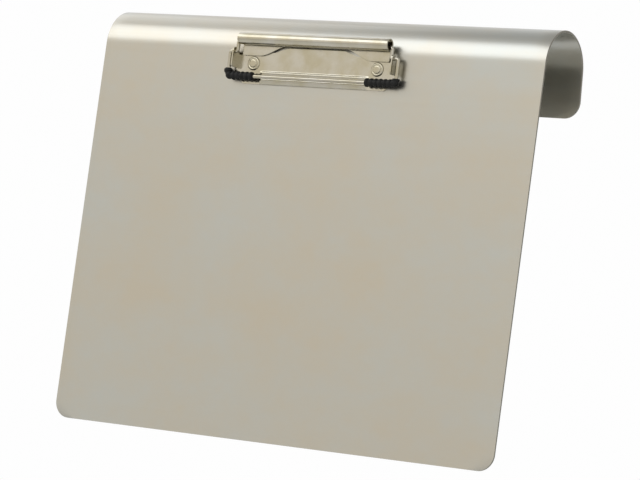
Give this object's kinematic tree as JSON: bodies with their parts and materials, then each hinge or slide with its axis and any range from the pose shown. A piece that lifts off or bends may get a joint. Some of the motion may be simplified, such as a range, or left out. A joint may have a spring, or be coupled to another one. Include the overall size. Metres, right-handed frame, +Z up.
{
  "type": "hanging clipboard",
  "caption": "Landscape sheet-metal clipboard with a half-round hook along its top edge, for hanging on a bed's footboard, and a low sprung wire clip with rubber-sleeved corners.",
  "frame": {"origin": "centre of the hook's bend, at mid-width", "axes": "+X along the hook, to the right seen from the clip's side; +Y from the front panel to the back; +Z up, the panel hanging along -Z"},
  "size_m": [0.305, 0.0558, 0.2516],
  "materials": {
    "board_metal": "fine satin, slightly warm",
    "clip_plate": "bright nickel plate",
    "rivet_metal": "bright nickel plate",
    "lever_plate": "bright nickel plate",
    "bail_wire": "bright nickel plate",
    "sleeve_rubber": "matt black"
  },
  "bodies": {
    "board": {"board": "board_metal", "clip_base": "clip_plate", "rivet_left": "rivet_metal", "rivet_right": "rivet_metal"},
    "clip": {"lever": "lever_plate", "wire_bail": "bail_wire", "sleeve_left": "sleeve_rubber", "sleeve_right": "sleeve_rubber"}
  },
  "joints": [
    {"name": "lever_press", "type": "hinge", "parent": "board", "child": "clip", "pos_m": [0.001, -0.0265, -0.0022], "axis": [-1, 0, 0], "range_deg": [0, 10], "stiffness_Nm_per_rad": 0.2, "springref_deg": -8.59}
  ]
}
